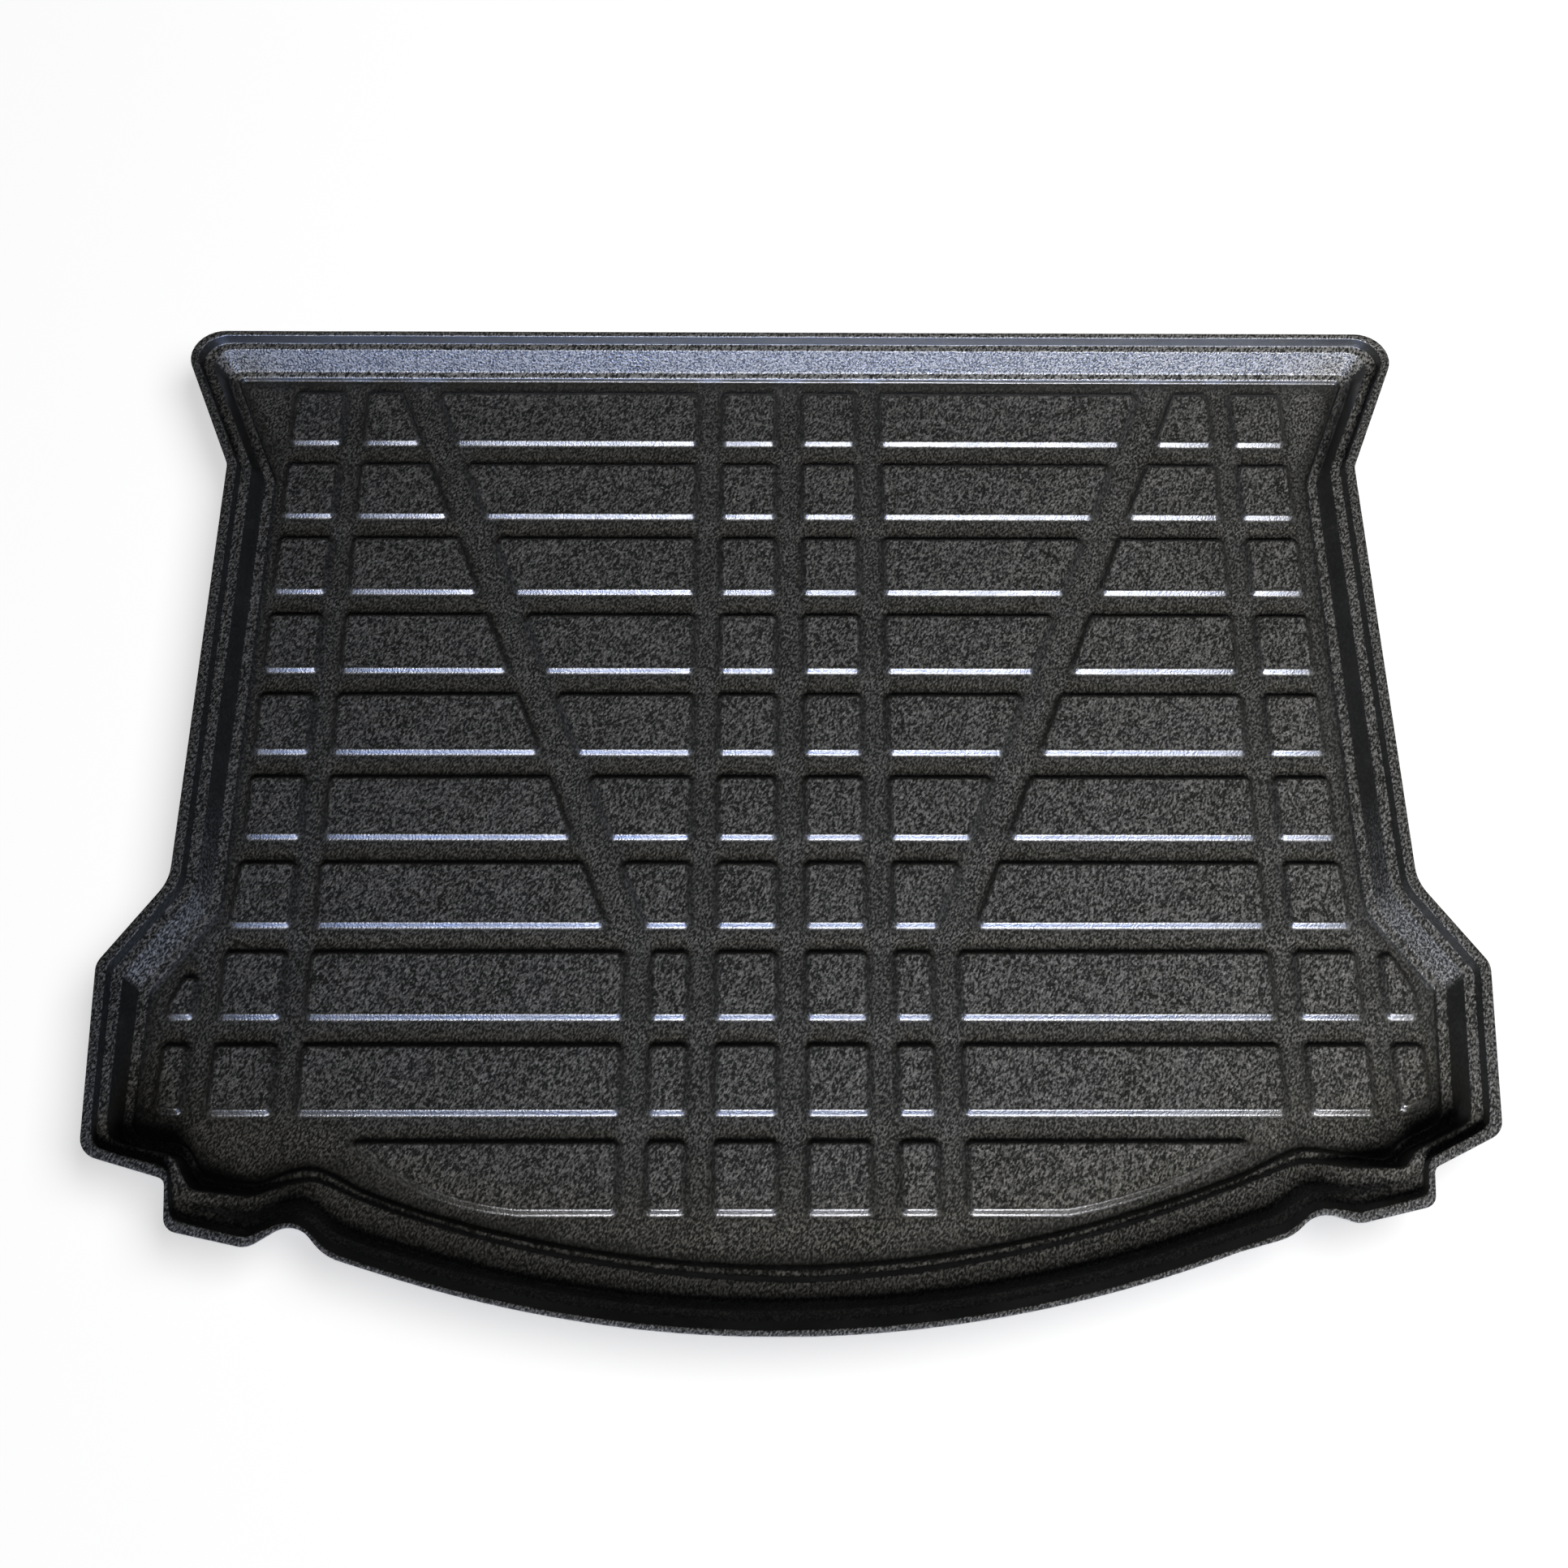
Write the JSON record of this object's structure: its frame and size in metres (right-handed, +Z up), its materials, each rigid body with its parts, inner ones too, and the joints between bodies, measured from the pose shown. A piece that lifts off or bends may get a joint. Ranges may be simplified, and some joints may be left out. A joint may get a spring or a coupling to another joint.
{
  "type": "car boot liner",
  "caption": "Shallow thermoformed tray that lines a car's boot floor, with a stepped wall, a thin outer rim and rows of raised pads.",
  "frame": {"origin": "middle of the underside's bounding box; the sheet's underside lies on the boot floor at z = 0", "axes": "+Z up out of the boot floor, +X to the right seen from the tailgate, +Y forwards to the rear seats; the bowed tailgate edge faces -Y"},
  "size_m": [1.1042, 0.9197, 0.0422],
  "materials": {
    "black_sheet": "black polyethylene sheet, thermoformed, fine leather grain on the upper face"
  },
  "bodies": {
    "root": {"boot_liner": "black_sheet"}
  },
  "joints": []
}
